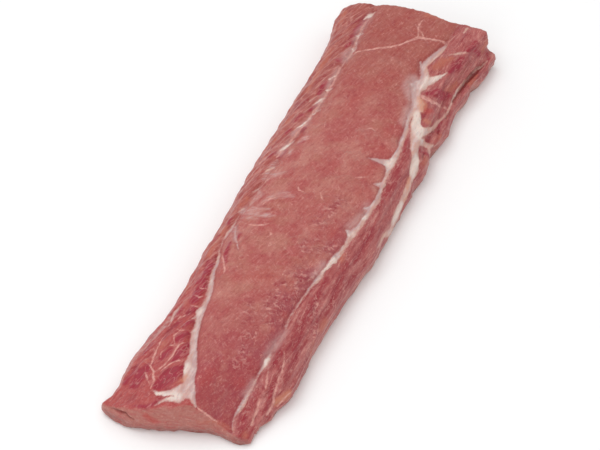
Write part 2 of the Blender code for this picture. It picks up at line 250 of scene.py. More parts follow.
# Threads of fat and skin, and painted highlights on the near cut's edges, thin all the way: (x, y)
THIN_LINE_HALF = 0.75
THREADS_AND_HIGHLIGHTS = (
    # along the left seam
    ((-47, 283), (-46, 270)), ((-47, 256), (-45, 238)), ((-38, 80.5), (-33.5, 72.5)),
    ((-43.5, 53.5), (-49.5, 44)), ((-41.5, 51.5), (-40.5, 39.5)), ((-40.5, 16), (-49.5, 9.5), (-53.5, -2)),
    ((-51, -92), (-45.5, -100.5), (-36.5, -116), (-35.5, -121)),
    ((-50, -50.5), (-36, -54.5), (-24.5, -52), (-20.5, -48)),
    # the net between the pods
    ((-58, -203), (-59, -214), (-59, -224), (-57, -231), (-55, -240), (-49, -247), (-45, -256),
     (-44, -265)), ((-33, -194), (-45, -196), (-51, -194)), ((-37, -178), (-43, -183), (-48, -191)),
    ((-31, -204), (-39, -214), (-40, -227), (-43, -238), (-48, -247)),
    ((-39, -214), (-44, -215), (-49, -215)), ((-44, -213), (-49, -203), (-46, -196)),
    ((-23, -232), (-31, -231), (-36, -234), (-39, -240), (-43, -245)), ((-63, -236), (-54, -240)),
    ((-58, -247), (-53, -253), (-47, -260)), ((-50, -219), (-53, -224), (-49, -230)),
    ((-37, -160), (-45, -164), (-51, -163)), ((-46, -174), (-53.5, -179), (-55, -183)),
    ((-56, -172.5), (-51, -174)), ((-40, -146), (-46, -152), (-52, -151)),
    ((-42, -136), (-48, -141), (-52, -140)), ((-44, -126), (-50, -131)), ((-51, -109), (-50.5, -116.5)),
    ((-55, -143), (-58, -152)), ((-56, -190), (-53, -198)),
    # painted highlight on the lip of the near cut
    ((-47, -269), (-53, -269)), ((-57, -270), (-63, -270.5)), ((-67, -273), (-71, -277)),
    # painted highlight along the top edge of the near cut
    ((-6, -272.5), (5, -272), (20, -268.5), (36, -266)),
    # across the eye near the far end: the branches of the broad one
    ((12, 250), (7, 263), (6, 270), (8, 279)), ((7, 263), (15, 255), (25, 246)), ((2, 251), (12, 250)),
    ((39, 257), (42, 266), (46, 277)), ((38, -128), (36, -122)),
    # over the fold in the band
    ((73, 76), (74, 82), (77, 89)),
    # on the strap towards the near end
    ((42, -252), (45, -245)), ((35.5, -253), (39, -268)), ((48, -182), (46, -194)),
    ((50, -105), (56, -114)), ((55, -105), (56, -121)), ((63, -128), (65, -138)), ((44, -136), (51, -146)),
    # stripped edges of the skin over the eye
    ((-38, -26), (-34, -17), (-23, -10)), ((-36.5, -46), (-27, -40)),
    ((32, 10.5), (26.5, 5.5), (23.5, 3.5)), ((35.5, 8.5), (38, 7.5)), ((29, 40), (34.5, 44), (39.5, 47.5)),
    ((8, 6), (11, 2), (15, -3)), ((4.5, -27.5), (4.5, -31.5)), ((-12, -24), (-9, -28.5)),
    ((-18, -58.5), (-14, -60.5), (-16, -67)), ((-26, 100), (-23, 91)), ((7, 88), (12, 90)),
    ((15, 102), (19, 108), (24, 106)), ((-13, 38), (-9, 32)), ((5, 38), (14, 34)),
    ((-16, 8), (-12, 2), (-3, 1)), ((-2, -60), (5, -68)), ((15, -124), (17, -116)),
    ((18, -123), (18, -134)), ((17, -104), (16, -91)), ((24, -99), (25, -89)), ((35, -125), (38, -128)),
    ((25, -135), (30, -131)), ((21, -159), (23, -153)), ((2, -161), (5, -159)), ((10, -191), (15, -186)),
    ((26, -64), (30, -63)), ((9, -237), (12, -233)), ((-1, -158), (2, -162)), ((24, -180), (22, -187)),
)

# Broader threads: (x, y, half the width)
BROAD_THREADS = (
    # along the left seam
    ((-46, 262, 0.4), (-47, 244, 0.8), (-44, 222, 0.8), (-42, 210, 0.4)),
    ((-43, 196, 0.4), (-44, 180, 1.0), (-42, 160, 0.8), (-42, 140, 1.1), (-43, 120, 0.7),
     (-45, 104, 1.1), (-46, 84, 0.8), (-50, 62, 1.0), (-53, 44, 0.4)),
    # across the eye near the far end
    ((-46, 199, 0.6), (-38, 208, 1.0), (-25, 214, 0.8), (-12, 221, 1.1), (-4, 228, 0.8), (7, 241, 1.1),
     (12, 250, 1.4), (26, 254, 1.0), (39, 258, 1.5)),
    # between the red oval and the dark meat beyond it
    ((42, 178, 1.0), (48, 176, 2.5), (56, 176, 2.2), (62, 182, 1.8), (66, 189, 1.2)),
    # on the strap towards the near end
    ((51, -179, 0.3), (56, -192, 0.8), (57, -207, 0.9), (58, -218, 1.0), (61, -229, 1.2), (64, -241, 1.3)),
    ((68, -209, 0.6), (66.5, -217, 1.3), (65, -225, 1.0)),
    ((48, -231, 0.6), (50, -241, 0.9), (50, -254, 0.8)),
    ((47, -206, 0.5), (48, -214, 0.9), (50, -221, 0.3)),
)

SILVERSKIN = (
    # feathered, where the fork of the left seam begins
    ((-49, 17, 0.6), (-42, 19, 2.6), (-35, 22.5, 0.8)), ((-50, 11, 0.4), (-44, 15, 1.6), (-38, 15, 0.4)),
    ((-50, -4, 0.4), (-47, -13, 3.4), (-50, -24, 1.6)), ((-46, -30, 0.4), (-38, -32, 1.4), (-29, -30, 0.3)),
    ((-42, -26, 0.6), (-36, -17, 2.0), (-29, -11.5, 2.8), (-21, -9, 2.4), (-13, -7.5, 0.4)),
    ((-54.5, -26, 0.6), (-54, -35, 3.0), (-44, -36, 3.4), (-35, -39.5, 3.0), (-26, -38.5, 2.0),
     (-20, -37.5, 0.3)), ((-51, -45, 0.3), (-43, -44, 1.4), (-34, -46, 0.3)),
    ((-36, -14, 0.3), (-27, -5, 1.2), (-19, -4, 0.3)), ((-44, -77, 0.6), (-48, -68, 3.4), (-53, -57, 2.4)),
    ((-35, 74, 3.0), (-41, 67.5, 2.2)), ((-43, 56, 1.6), (-42, 50, 2.4)),
    ((-50, 40, 0.6), (-52, 28, 1.6), (-53, 12, 1.0)),
    # along the outer edge of the strip
    ((-82, -262, 1.6), (-78.5, -241, 2.2), (-75.5, -225, 2.2), (-71, -208.5, 2.6), (-66.5, -192, 2.8),
     (-65.5, -178, 1.8)), ((-78, -130, 1.4), (-74, -90, 1.0)),
)

HAZE = (
    # skin so thin that it only clouds the meat, beside the star and along the right seam
    ((37, 204, 1.0), (31, 192, 6.4), (31, 178, 5.4), (36, 168, 3.0)),
    ((40, 166, 1.4), (40, 152, 1.6), (43, 132, 1.6)), ((51, 16, 1.6), (52, 10, 1.6)),
    ((43, -70, 0.4), (42, -78, 1.6), (40.5, -88, 0.2)), ((47.5, -17.5, 1.4), (52.5, 3, 1.4)),
    ((43, -158, 0.2), (41, -174, 1.8), (39.5, -190, 1.8), (40.5, -202, 1.0)),
    ((37, -219, 1.2), (35.5, -232, 1.6)),
    # and along the left seam
    ((-43, 212, 1.6), (-44.5, 202, 3.4), (-45, 192, 1.0)),
    ((-44, 180, 0.0), (-45, 166, 1.2), (-44, 150, 0.4)),
    ((-43, 142, 0.2), (-44, 130, 1.4), (-43, 118, 0.2)), ((-44, 106, 0.2), (-46, 94, 1.4), (-50, 76, 0.6)),
    ((-46, 268, 0.6), (-47, 240, 1.2), (-44, 222, 1.2)), ((-49, 66, 1.8), (-52, 50, 1.8)),
)

DARK_MEAT_AND_SHADE = (
    # the pods
    ((-48, -134, 4.2), (-51, -146, 5.0), (-49, -157, 4.4)), ((-44, -166, 2.8), (-48, -174, 3.2)),
    ((-39, -182, 2.8), (-44, -190, 3.2)), ((-38, -199, 3.6), (-42, -207, 4.0)),
    ((-30, -210, 3.2), (-32.5, -219, 5.0), (-35, -230, 4.2)), ((-44, -220, 2.0), (-48, -230, 3.2)),
    ((-25, -239, 4.0), (-32, -249, 8.4), (-37, -259, 7.0)), ((-56.5, -168.5, 1.4), (-59, -174.5, 1.9)),
    ((-51, -186, 2.0), (-53, -191, 1.6)), ((-66.5, -213, 1.9), (-69, -225, 2.2)),
    ((-57, -240, 3.4), (-60, -251, 6.6), (-62, -261, 5.4)), ((-68, -244, 2.0), (-72, -258, 3.0)),
    # dark cores in the strip
    ((-47, -80.5, 1.6), (-43.5, -98, 2.4), (-40, -106, 1.0)), ((-42.5, -68, 1.9), (-42.5, -72, 1.4)),
    ((-56, -107, 3.6), (-53, -122, 4.0)), ((-51, -104.5, 1.2), (-51.5, -112.5, 1.4)),
    ((-51.5, -130.5, 2.9), (-56.5, -135.5, 1.4)), ((-43.5, 89.5, 2.4), (-45, 84.5, 1.9)),
    ((-56, 83.5, 1.9), (-58, 78.5, 1.9)), ((-53, 106, 2.4), (-56.5, 97, 1.4)),
    ((-57, 48.5, 1.9), (-60.5, 42.5, 1.9)), ((-47.5, 56.5, 1.4), (-51, 44.5, 1.4)),
    ((-47.5, 258, 2.2), (-50.5, 239.5, 3.2)), ((-49, 235, 1.4), (-52, 229, 1.4)),
    ((-46.5, 221.5, 2.4), (-50, 214, 1.6)), ((-44.5, 190.5, 1.9), (-51, 191, 1.9)),
    ((-49, 157, 1.9), (-50, 147.5, 2.9), (-49, 140, 2.4)), ((-45.5, 124, 1.4), (-47, 114.5, 1.9)),
    ((-36, 69, 1.9), (-39.5, 64, 1.4)), ((-65.5, -74, 1.9), (-64.5, -69, 1.4)),
    ((-61.5, -48, 1.9), (-61, -53.5, 1.4)),
    # painted shade under the lip of the near cut
    ((-29.5, -276, 1.0), (-38, -285.5, 1.9), (-51, -285.5, 1.0)),
    # along the strap
    ((65.5, 269.5, 2.8), (61.5, 255, 1.8)), ((62, 246, 2.2), (60, 234, 4.6), (57, 222, 1.6)),
    ((49, 183, 2.6), (54, 188, 5.2), (60, 196, 5.2), (63, 206, 1.8)), ((64, 263, 2.0), (70, 270, 2.4)),
    ((75, 280.5, 1.4), (78.5, 274.5, 1.4)), ((68.5, 169, 1.0), (71, 154.5, 1.9)),
    ((66.5, 117, 1.0), (73, 123, 1.2)),
)

RED_MEAT = (
    # redder fields of the eye, with no edge
    ((0.5, -236, 4.5), (-1, -248.5, 4.5)), ((33.5, -140, 4.5), (36.5, -165, 4.5)),
    ((39, 62, 5.0), (39, 54, 4.0)), ((34, 113, 4.0), (38, 90, 4.0)), ((41, -32, 4.5), (42, -40, 4.5)),
    ((-20, -123, 4.0), (4, -111, 8.0)), ((46, 32, 3.5), (40, 24, 3.5)), ((-30, -240, 1.0), (30, -230, 6.0)),
    ((-15, 120, 4.0), (8, 190, 10.0)), ((-25, 240, 8.0), (-8, 268, 8.0)), ((56, 158, 1.0), (61, 164, 1.0)),
)

TAN_MEAT = (
    ((-17, -249, 1.0), (-21, -254, 0.6)), ((-63, -233, 0.8), (-60, -234, 0.6)),
    ((-55, -218, 0.6), (-54, -212, 0.6)), ((-59, -155, 0.4), (-56, -162, 0.4)),
    ((46, 170, 1.6), (52, 165, 1.6)), ((68, -211.5, 2.8), (66, -226, 2.4)),
    ((47, 231, 3.8), (43, 219, 3.6), (52, 238, 2.6)), ((69, 283, 3.0), (70, 276, 2.4)),
    ((65.5, -121, 2.4), (65.5, -130.5, 1.9)), ((66, -148.5, 1.9), (67, -155.5, 1.9)),
    ((-64.5, 98.5, 2.4), (-65, 89.5, 1.9)), ((-66.5, 68.5, 1.9), (-67, 62.5, 1.4)),
    ((-58, -18, 2.4), (-60.5, -27, 1.9)), ((-65.5, 207.5, 2.6), (-63, 142.5, 1.9)),
    ((-73.5, 265.5, 2.0), (-72.5, 250.5, 2.2)), ((-63, -58.5, 1.9), (-61, -105.5, 1.4)),
    ((-65.5, -134, 1.9), (-64.5, -142.5, 1.4)), ((36, -265, 0.8), (22, -269, 0.6), (8, -276, 0.2)),
    ((73.5, 146, 2.4), (74.5, 152, 1.9)), ((75, 107.5, 2.2), (74, 115.5, 1.6)),
    ((49, -265.5, 1.6), (49, -263, 1.6)), ((75, 232, 2.0), (77, 245, 1.6)),
    ((53.5, -47, 1.4), (55, -55.5, 1.4)), ((8, 285, 2.4), (20, 287, 2.0)), ((60, 196, 2.6), (64, 222, 2.2)),
)

PEACH_FAT = (
    # fat that the meat has stained orange
    ((45, 172, 2.6), (50, 166, 4.0), (52, 158, 1.6)), ((59, 149, 1.4), (64, 152, 1.2)),
    ((72, 78, 2.6), (73, 70, 1.8)), ((75, 64, 1.2), (75, 58, 2.0)), ((-18, -243, 1.0), (-19, -250, 1.6)),
    ((68, -209, 3.0), (66, -224, 2.6)),
)

CREAM_FAT = (
    ((-46, 272, 3.0), (-47, 232, 3.0), (-43, 214, 3.0)), ((-46, 168, 3.0), (-42, 148, 3.0)),
    ((-46, 136, 4.0), (-47, 92, 4.0)), ((-50, 64, 4.0), (-52, 40, 2.0)), ((41, 202, 1.6), (40, 188, 1.6)),
    ((51, 81, 2.6), (49, 76, 2.6)), ((50, 152, 3.4), (57, 137, 5.6), (61, 129, 4.0)),
    ((68, 104, 3.4), (72, 88, 4.0)), ((75, 50, 3.0), (75.5, 30, 2.6)), ((46, -77, 2.4), (49, -60, 2.6)),
    ((-17.5, -267.5, 3.8), (-26, -271, 2.4), (-36, -270.5, 1.9)), ((-38.5, -171, 0.8), (-38.5, -166, 0.8)),
    ((-22, -240, 2.4), (-21.5, -234, 2.4)), ((54, 4, 1.9), (54, 1, 1.9)), ((53, -21, 0.0), (50, -25, 0.0)),
    ((40.5, -199, 2.4), (40.5, -196, 2.4)), ((54.5, 215, 2.4), (48, 204, 2.9)),
    ((67.5, 216, 0.6), (68.5, 200, 1.0)),
)

CRINKLED = (
    # where the skin over the eye and the strap is wrinkled
    ((40, -50, 8.0), (22, -62, 8.0)), ((30, 7, 5.0), (22, -31, 6.0)), ((40, -84, 6.0), (38, -100, 7.0)),
    ((28, -95, 8.0), (25, -118, 11.0), (24, -139, 11.0), (25, -156, 8.0)),
    ((20, -215, 6.0), (20, -185, 6.0)), ((55, -105, 5.0), (57, -125, 6.0), (63, -145, 6.0)),
    ((8, -165, 6.0), (2, -150, 5.0)),
)

RED_CUT = (
    # in the near cut
    ((-38, -289, 2.2), (-28, -287, 2.4)),
    # and the red oval beside the white patch
    ((55, 160, 2.6), (61, 166, 2.4)),
)

STRAP_DARK = (
    # long purple bands of the strap
    ((66, -2, 2.6), (66, -44, 2.4)), ((60, 78, 2.6), (63.5, 60, 3.4), (60, 30, 2.2)),
    ((61, -56, 2.4), (62, -96, 2.6)), ((52, -84, 2.2), (52, -118, 2.2), (54, -140, 2.2)),
    ((54, -146, 2.8), (57, -168, 4.0), (61, -182, 2.2)), ((54, 116, 2.2), (57, 98, 2.2)),
    ((47, -182, 2.6), (50, -196, 3.0)), ((40, -246, 2.4), (44, -256, 5.0), (47.5, -267, 4.6)),
    ((54, -210, 2.2), (56.5, -224, 3.2), (58, -238, 2.6)), ((44, -228, 2.2), (43, -246, 2.4)),
)

# Crevices where a layer has come loose: a trough is sunk along each, with painted shade laid in it; (x, y,
# half the width) in mm
CREVICE = (
    ((77.5, 270, 0.6), (75.5, 258, 1.6), (73.5, 243, 2.0), (71.5, 230, 1.4), (69.5, 212, 1.2),
     (69.5, 202, 0.6)), ((71.5, 190, 0.2), (71, 183, 0.7), (71, 176, 0.1)),
    ((69.5, 160, 0.1), (72, 152, 0.4)), ((70.5, 120, 0.2), (72, 112, 0.2)),
    ((-75, -287, 0.3), (-66, -289, 0.9), (-58, -290, 1.0), (-50, -291, 0.4)),
)

# Where the outline was cut back or left proud: (x, y, z, reach, then the move along x, y and z), in mm
TRIMMED = (
    (44, 288, 38, 15, 0.0, 3.6, 1.2), (88, 276, 10, 15, -3.0, -5.0, -0.5), (66, 287, 35, 22, 4.6, 1.5, 5.6),
    (79, 236, 8, 17, -4.2, 0.0, 1.5), (75, 136, 9, 14, -4.4, 0.0, 1.0), (77, 165, 10, 12, 1.6, 0.0, 0.3),
    (77, 87, 13, 18, -3.6, 0.0, 0.5), (-69, -81, 29, 16, -2.2, 0.0, 0.5), (58, -246, 4, 14, -2.0, 0.0, 0.3),
    (76, 0, 11, 20, -1.2, 0.0, 0.0), (64, -226, 10, 22, -3.0, 0.0, 0.5), (-84, -281, 8, 14, -1.8, 0.0, 0.5),
    (-82, -245, 14, 36, -1.8, 0.0, 0.8), (-30, -289, 3, 24, 0.0, 1.6, 0.5),
    (-5, -280, 3, 20, 0.0, 2.0, 0.6), (13, -274, 3, 16, 0.0, 1.6, 0.5),
)


def on_solid(here):
    """The points of the solid's skin nearest to some points, all in mm."""
    near = [solid.closest_point_on_mesh(Vector(point) * MM)[1] for point in here.tolist()]
    return np.array(near, np.float32) / MM


def gap_to(strokes, here):
    """mm from each point of the skin to the edge of the nearest stroke, below 0 inside it."""
    nearest = np.full(len(here), 99.0, np.float32)
    for stroke in strokes:
        drawn = [(*(skin_under(x, y)[0] / MM), half) for x, y, half in stroke]
        for start, end in zip(drawn, drawn[1:]):
            a, b = np.array(start[:3], np.float32), np.array(end[:3], np.float32)
            run = b - a
            share = np.clip((here - a) @ run / max(run @ run, 1e-6), 0.0, 1.0)
            off = here - (a + share[:, None] * run)
            half = start[3] + share * (end[3] - start[3])
            np.minimum(nearest, np.sqrt((off * off).sum(1)) - half, out=nearest)
    return nearest


def fine(threads):
    """Threads, and the painted highlights drawn like them, as strokes, thinner at both ends."""
    return [
        [(x, y, THIN_LINE_HALF if 0 < place < len(thread_and_highlight) - 1 else 0.0) for place, (x, y) in enumerate(thread_and_highlight)]
        for thread_and_highlight in threads
    ]


def soft(low, high, value):
    """0 below low and 1 above high, or the other way round, with a smooth step between them."""
    share = np.clip((value - low) / (high - low), 0.0, 1.0)
    return share * share * (3.0 - 2.0 * share)


def lumps(here, size, seed, turn=0.0, stretch=1.0):
    """Even noise from about -1 to 1, of that grain in mm; stretched along a way turned from the length."""
    angle = math.radians(turn)
    across = here[:, 0] * math.cos(angle) - here[:, 1] * math.sin(angle)
    along = (here[:, 0] * math.sin(angle) + here[:, 1] * math.cos(angle)) / stretch
    grid = np.stack((across, along, here[:, 2]), 1) / size + seed * 17.3
    return np.array([noise.noise(Vector(point)) for point in grid.tolist()], np.float32)


def read_skin():
    """The loin's points in mm, and the way each faces."""
    mesh = loin.data
    points = np.empty(len(mesh.vertices) * 3, np.float32)
    mesh.vertices.foreach_get("co", points)
    faces = np.empty(len(mesh.vertices) * 3, np.float32)
    mesh.vertex_normals.foreach_get("vector", faces)
    return points.reshape(-1, 3) / MM, faces.reshape(-1, 3)


def regions(here, facing):
    """Masks from 0 to 1 for the parts of the loin that look different."""
    x, y = here[:, 0] + 1.2 * lumps(here, 9, 3), here[:, 1]
    near = soft(0.45, 0.62, -facing[:, 1]) * (y < -245)
    far = soft(0.45, 0.62, facing[:, 1]) * (y > 255)
    under = soft(0.15, -0.45, facing[:, 2]) * (1 - near) * (1 - far)
    left, right = seam_x(LEFT_SEAM, y), seam_x(RIGHT_SEAM, y)
    top = (1 - near) * (1 - far) * (1 - under)
    return {
        "strip": soft(1.0, -1.0, x - left) * top,
        "strap": soft(-1.0, 1.0, x - right) * top,
        "eye": soft(-1.0, 1.0, x - left) * soft(1.0, -1.0, x - right) * top,
        "cut": near + far,
        "under": under,
    }


def wandering(here):
    """Points of the solid's skin by some points, pushed about a little so that no edge is drawn clean."""
    return on_solid(here + np.stack([SKIN_WANDER * lumps(here, 7, 5 + axis) for axis in range(3)], 1))


SKIN_WANDER = 0.8
RIB_PITCH = 33.0
RIB_SLANT = 0.12  # how far a rib's mark moves along the loin for each mm across it
RIB_AT = 37.0  # mm along the loin; the middle of one of the marks
MOST_TRIANGLES = 196000
threads_and_highlights = fine(THREADS_AND_HIGHLIGHTS) + list(BROAD_THREADS)

here, facing = read_skin()
part = regions(here, facing)
wander = wandering(here)
fat_gap = gap_to(FAT, wander)
thread_and_highlight_gap = gap_to(threads_and_highlights, wander)
dark_gap = gap_to(DARK_MEAT_AND_SHADE, wander)
crevice_gap = gap_to(CREVICE, wander)
crinkled = soft(5, -5, gap_to(CRINKLED, wander))
flat_base = soft(0.6, 3.0, here[:, 2])  # 0 where the loin rests on the table

# How far the skin stands out, in mm: each lump as its height times a noise of its grain
rise = 0.7 * lumps(here, 60, 1) + 0.35 * lumps(here, 17, 2) + 0.14 * lumps(here, 6, 4)
rise += part["strip"] * (
    1.3 * lumps(here, 5.5, 8, STRIP_TURN, 6) + 0.5 * lumps(here, 2.8, 9, STRIP_TURN, 6)
)
rise += part["strap"] * (1.3 * lumps(here, 5.5, 10, 2, 8) + 0.6 * lumps(here, 2.8, 11, 2, 10))
past_rib = here[:, 1] - RIB_SLANT * here[:, 0] - RIB_AT + RIB_PITCH / 2
rib_marks = np.cos(2 * math.pi * past_rib / RIB_PITCH)
ribbed = soft(-100, -40, here[:, 1]) * soft(150, 90, here[:, 1])
rise += part["eye"] * (
    0.4 * lumps(here, 3.2, 12, 12, 4) + 0.5 * lumps(here, 8, 13, -60, 3) + 0.35 * rib_marks * ribbed
)
rise += crinkled * (1.4 * np.abs(lumps(here, 4.6, 18, 40, 2)) + 0.5 * lumps(here, 2.6, 19, 10, 2))
rise += part["cut"] * (0.9 * lumps(here, 6, 14) + 0.5 * lumps(here, 2.6, 15))
rise -= 0.85 * soft(3.6, 0.0, fat_gap) - 0.5 * soft(0.2, -2.4, fat_gap) * (1 + lumps(here, 5, 17))
rise -= 0.35 * soft(2.2, 0.0, thread_and_highlight_gap) - 0.3 * soft(1.0, -1.5, dark_gap)
rise -= 2.6 * soft(1.4, -1.4, crevice_gap)
move = facing * (rise * flat_base)[:, None]
whole = np.ones_like(flat_base)
not_the_base = np.stack((whole, whole, flat_base), 1)
for *centre, reach, right, along, up in TRIMMED:
    pull = np.clip(1 - ((here - np.array(centre)) ** 2).sum(1) / reach**2, 0.0, 1.0) ** 2
    move += pull[:, None] * np.array((right, along, up)) * not_the_base

# The lower edge is ragged: it goes in and out, but stays flat on the table
outward = facing[:, :2] / np.maximum(np.linalg.norm(facing[:, :2], axis=1), 0.3)[:, None]
ragged = (2.0 * lumps(here, 9, 16) + 0.9 * lumps(here, 5, 20)) * soft(12, 3, here[:, 2])
ragged *= soft(0.2, 0.6, np.linalg.norm(facing[:, :2], axis=1))
move[:, :2] += outward * ragged[:, None]
moved = here + move
moved[:, 2] = np.maximum(moved[:, 2], 0.0)
loin.data.vertices.foreach_set("co", (moved * MM).astype(np.float32).ravel())
loin.data.update()

# The resting side needs fewer faces than the side that shows
coarse_group = loin.vertex_groups.new(name="coarse")
coarse = np.clip(part["under"] + (1 - flat_base), 0.0, 1.0)
for index in np.nonzero(coarse > 0.02)[0].tolist():
    coarse_group.add([index], float(coarse[index]), "REPLACE")
loin.data.calc_loop_triangles()
triangles = len(loin.data.loop_triangles)
apply_modifier(
    "DECIMATE", ratio=min(1.0, MOST_TRIANGLES / triangles), vertex_group="coarse", vertex_group_factor=12.0
)
loin.vertex_groups.clear()
bpy.ops.object.shade_smooth()

here, facing = read_skin()
part = regions(here, facing)
wander = wandering(here)


def keep(name, values):
    """Stores one number for each point of the skin, for the finish to read."""
    layer = loin.data.attributes.new(name, "FLOAT", "POINT")
    layer.data.foreach_set("value", np.asarray(values, np.float32))


for name in part:
    keep(name, part[name])
keep("rich", soft(-110, -235, here[:, 1] - 1.1 * here[:, 0]) * part["eye"])
keep("near_strip", soft(-60, -170, here[:, 1]) * part["strip"])
keep("dusk", soft(90, 240, here[:, 1]) * part["eye"] + soft(50, 180, here[:, 1]) * part["strip"])
keep("lip", soft(-262, -272, here[:, 1] - 0.3 * here[:, 0]) * part["strip"])
keep("height", here[:, 2])
keep("fat_gap", gap_to(FAT, wander))
keep("thread_and_highlight_gap", gap_to(threads_and_highlights, wander))
keep("dark_gap", gap_to(DARK_MEAT_AND_SHADE, wander))
keep("strap_dark", soft(4.5, -3.0, gap_to(STRAP_DARK, wander)))
keep("crevice_gap", gap_to(CREVICE, wander))
keep("silverskin", soft(2.6, -1.6, gap_to(SILVERSKIN, wander)))
keep("haze", soft(6.0, -5.0, gap_to(HAZE, wander)))
keep("tan", soft(4.0, -2.5, gap_to(TAN_MEAT, wander)))
keep("red", soft(7.0, -6.0, gap_to(RED_MEAT, wander)))
right_gap = seam_x(RIGHT_SEAM, here[:, 1]) - here[:, 0]
keep("plum", soft(34, 4, right_gap) * soft(70, -90, here[:, 1]) * part["eye"])
keep("peach", soft(3.0, -2.0, gap_to(PEACH_FAT, wander)))
keep("cream", soft(4.0, -2.0, gap_to(CREAM_FAT, wander)))
keep("crinkled", soft(5, -5, gap_to(CRINKLED, wander)))
keep("red_cut", soft(3.0, -2.0, gap_to(RED_CUT, wander)))


# ---- The loin: the finish of raw meat ----
# Raw lean is a dusty rose, darker in the strap and the pods, with fine fibres along each muscle.
# Fat is a pinkish white, creamy in the thick patch; silverskin is a thin milky film over the lean.
# The meat is moist all over, so a faint white sheen lies on every colour.

SHEEN = 0.045  # the white that the moist skin throws back under this light
LIT = 1.08  # how bright the light makes a white card
BUMP_STRENGTH = 0.7
BUMP_HEIGHT = 0.6  # mm
SEEN_INTO = 0.2  # the share of the light that goes into the meat and comes out again
SEEN_DEPTH = 3.0  # mm
RED_GOES_DEEPEST = (1.0, 0.35, 0.25)
WET_GLOSS = 0.35


def shade(red, green, blue):
    """A paint, from 0 to 255 as it looks under this light, as the linear colour without the sheen."""
    def paint(value):
        value /= 255
        linear = value / 12.92 if value <= 0.04045 else ((value + 0.055) / 1.055) ** 2.4
        return max(0.0, (linear - SHEEN) / LIT)
    return (paint(red), paint(green), paint(blue), 1.0)


ROSE = shade(193, 129, 119)
RED_ROSE = shade(181, 101, 98)
BROWN_ROSE = shade(183, 119, 107)
FIELD_RED = shade(182, 90, 88)
PLUM = shade(164, 90, 96)
CRIMSON = shade(172, 90, 92)
STRIP_RED = shade(178, 104, 97)
STRIP_CRIMSON = shade(181, 93, 91)
STRAP_RED = shade(183, 110, 107)
DARK_RED = shade(150, 64, 72)
DUSK_ROSE = shade(168, 96, 88)
STRAP_PURPLE = shade(158, 58, 70)
POD_RED = shade(163, 66, 78)
RUST = shade(192, 116, 100)
CUT_PINK = shade(184, 122, 113)
CUT_RED = shade(186, 84, 80)
CUT_LOW_SHADE = shade(160, 112, 108)
PALE_PINK = shade(221, 165, 155)
FAT_WHITE = shade(220, 194, 189)
FAT_CREAM = shade(240, 222, 211)
FAT_PEACH = shade(218, 174, 158)
FAT_GREY = shade(198, 168, 167)
SKIN_MILK = shade(204, 156, 150)
HAZE_PINK = shade(206, 168, 164)
CREVICE_SHADE = shade(138, 72, 70)
ORANGE_FAT = shade(222, 158, 126)
UNDER_PINK = shade(196, 140, 131)

meat = bpy.data.materials.new("raw_pork")
meat.use_nodes = True
nodes, links = meat.node_tree.nodes, meat.node_tree.links
nodes.clear()


def plug(value, socket):
    """Joins a node's output to a socket, or sets the socket to a plain value."""
    if isinstance(value, bpy.types.NodeSocket):
        links.new(value, socket)
    else:
        socket.default_value = value


def read(name):
    """One of the numbers kept on the skin."""
    node = nodes.new("ShaderNodeAttribute")
    node.attribute_name = name
    return node.outputs["Fac"]


def work(kind, first, second=0.0, third=0.0):
    """A Math node."""
    node = nodes.new("ShaderNodeMath")
    node.operation = kind
    for socket, value in zip(node.inputs, (first, second, third)):
        plug(value, socket)
    return node.outputs[0]


def both(*shares):
    """The product of several masks."""
    product = shares[0]
    for share in shares[1:]:
        product = work("MULTIPLY", product, share)
    return product


def step(value, low, high, kind="SMOOTHSTEP"):
    """0 to 1 as the value goes from low to high."""
    node = nodes.new("ShaderNodeMapRange")
    node.interpolation_type = kind
    plug(value, node.inputs["Value"])
    node.inputs["From Min"].default_value = low
    node.inputs["From Max"].default_value = high
    return node.outputs["Result"]


def tint(under, over, *shares):
    """One colour laid over another, by the product of some masks."""
    node = nodes.new("ShaderNodeMix")
    node.data_type = "RGBA"
    plug(both(*shares), node.inputs["Factor"])
    plug(under, node.inputs["A"])
    plug(over, node.inputs["B"])
    return node.outputs["Result"]


spot = nodes.new("ShaderNodeTexCoord").outputs["Object"]


def laid(turn, width, length, shift=0.0):
    """Object coordinates in cells of that width and length in mm, turned clockwise from the length."""
    node = nodes.new("ShaderNodeMapping")
    node.vector_type = "TEXTURE"
    plug(spot, node.inputs["Vector"])
    node.inputs["Location"].default_value = (shift, shift, 0.0)
    node.inputs["Rotation"].default_value = (0.0, 0.0, math.radians(-turn))
    node.inputs["Scale"].default_value = (width * MM, length * MM, width * MM)
    return node.outputs["Vector"]


def cloud(place, detail=2.0, roughness=0.5, distortion=0.0):
    """Even noise from 0 to 1 over the cells of a place."""
    node = nodes.new("ShaderNodeTexNoise")
    plug(place, node.inputs["Vector"])
    node.inputs["Scale"].default_value = 1.0
    node.inputs["Detail"].default_value = detail
    node.inputs["Roughness"].default_value = roughness
    node.inputs["Distortion"].default_value = distortion
    return node.outputs["Fac"]


def ridges(field, width, level=0.5):
    """Thin lines where a noise passes through that level."""
    return step(work("ABSOLUTE", work("SUBTRACT", field, level)), width, 0.0)


def colour_cloud(place):
    """Three even noises at once, as a vector from 0 to 1."""
    node = nodes.new("ShaderNodeTexNoise")
    plug(place, node.inputs["Vector"])
    node.inputs["Scale"].default_value = 1.0
    return node.outputs["Color"]


def bent(place, size, strength):
    """A place pushed about by noise of that size in mm."""
    node = nodes.new("ShaderNodeVectorMath")
    node.operation = "MULTIPLY_ADD"
    plug(colour_cloud(laid(0, size, size)), node.inputs[0])
    node.inputs[1].default_value = (strength, strength, strength)
    plug(place, node.inputs[2])
    return node.outputs[0]


def cells(place, feature="DISTANCE_TO_EDGE"):
    """Cells of a place: how far their edges are, or one number for each cell."""
    node = nodes.new("ShaderNodeTexVoronoi")
    node.feature = feature
    plug(place, node.inputs["Vector"])
    node.inputs["Scale"].default_value = 1.0
    return node.outputs["Distance" if feature == "DISTANCE_TO_EDGE" else "Color"]


